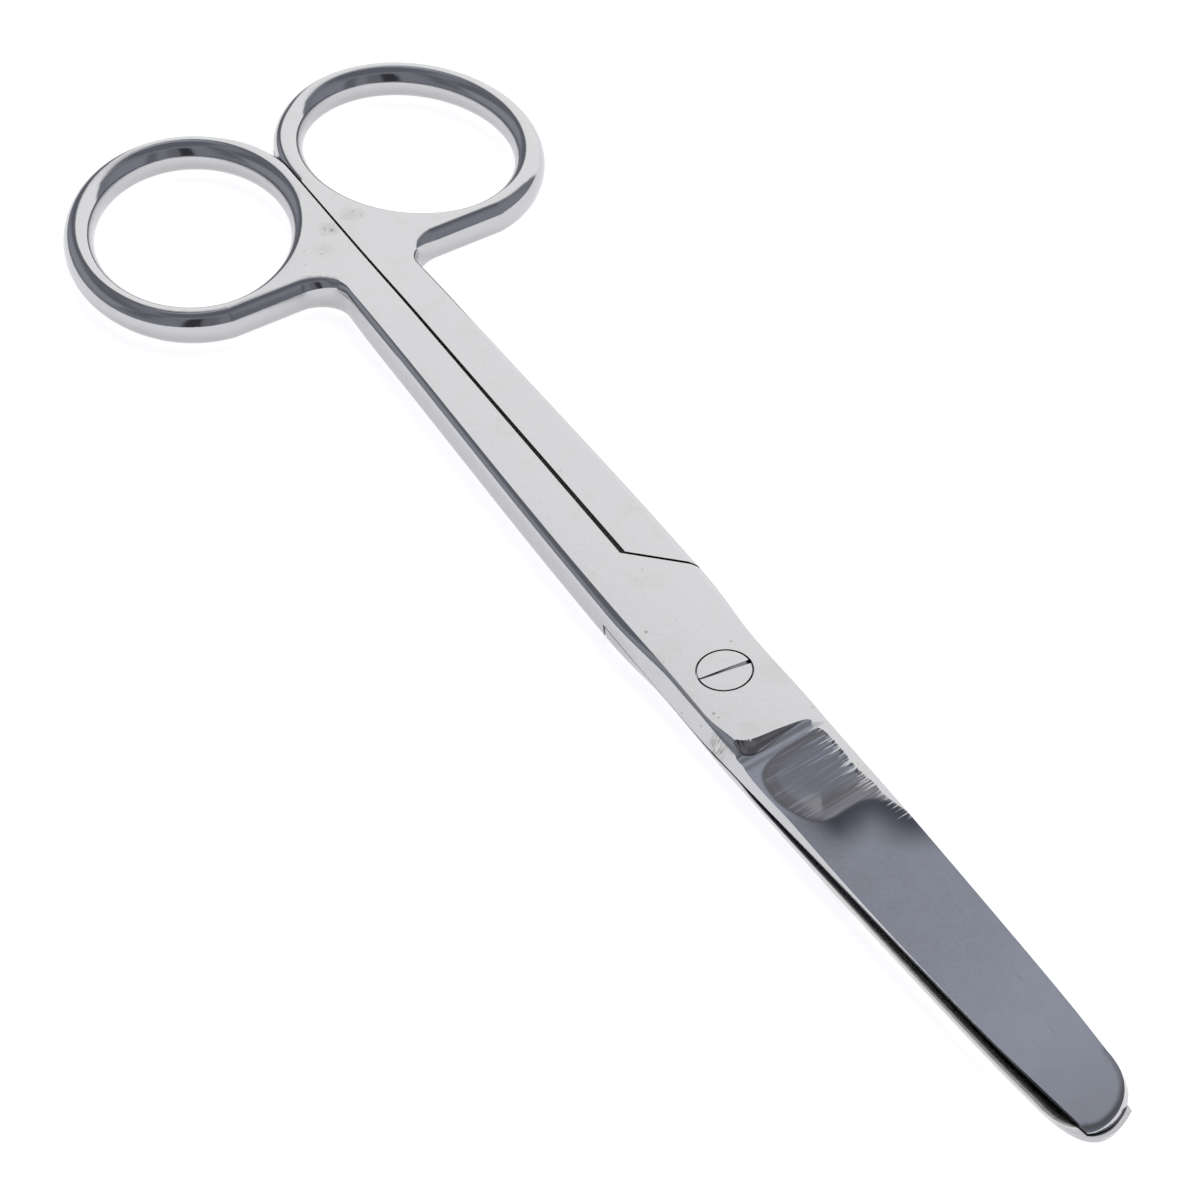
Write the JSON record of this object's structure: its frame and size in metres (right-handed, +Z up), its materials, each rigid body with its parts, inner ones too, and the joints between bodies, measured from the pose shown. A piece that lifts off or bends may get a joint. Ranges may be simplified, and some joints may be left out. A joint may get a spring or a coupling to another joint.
{
  "type": "blunt-tip scissors",
  "caption": "Straight surgical scissors with blunt tips, finger rings, a half-lap joint and a slotted pivot screw.",
  "frame": {"origin": "on the pivot axis, in the plane of the underside that the closed scissors lie on", "axes": "+X from the pivot to the tips, +Z up along the pivot axis to the screw head, +Y to the lower half's ring"},
  "size_m": [0.1456, 0.0474, 0.0038],
  "materials": {
    "forged_steel": "mirror polished, blade faces ground",
    "screw_steel": "polished"
  },
  "bodies": {
    "lower": {"lower_half": "forged_steel", "pivot_screw": "screw_steel"},
    "upper": {"upper_half": "forged_steel"}
  },
  "joints": [
    {"name": "pivot", "type": "hinge", "parent": "lower", "child": "upper", "pos_m": [0, 0, 0], "axis": [0, 0, 1], "range_deg": [0, 90]}
  ]
}
